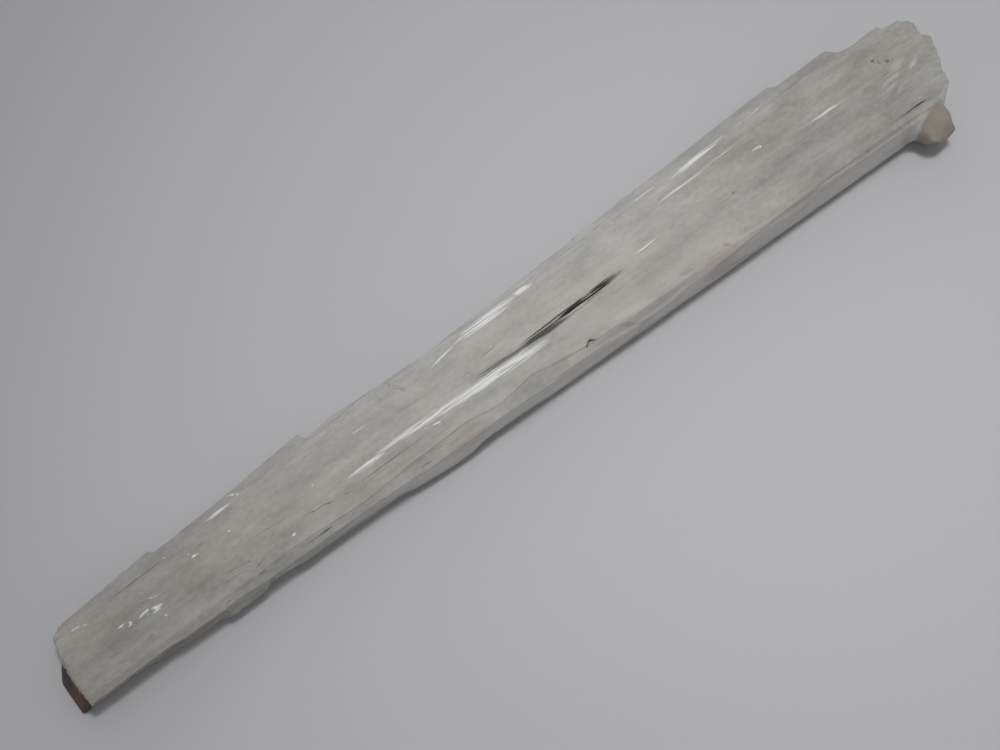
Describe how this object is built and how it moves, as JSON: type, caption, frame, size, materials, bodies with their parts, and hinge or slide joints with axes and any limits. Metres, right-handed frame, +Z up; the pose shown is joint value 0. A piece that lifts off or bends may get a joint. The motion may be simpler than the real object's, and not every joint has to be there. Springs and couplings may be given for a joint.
{
  "type": "scolecite crystal",
  "caption": "Long clear grey crystal of parallel prisms grown together, flaring from a narrow stained broken base to a wide broken tip, lying on its flat underside.",
  "frame": {"origin": "middle of the bottom of the crystal's bounding box, on the surface it lies on", "axes": "+X along the crystal from its narrow stained base to its wide tip, +Y across it towards the edge with the stepped ledges, +Z up from the surface it lies on"},
  "size_m": [0.1014, 0.0142, 0.0059],
  "materials": {
    "crystal": "translucent pale grey crystal with a silky lengthwise lustre, brown-stained at the narrow end"
  },
  "bodies": {
    "root": {"crystal": "crystal"}
  },
  "joints": []
}
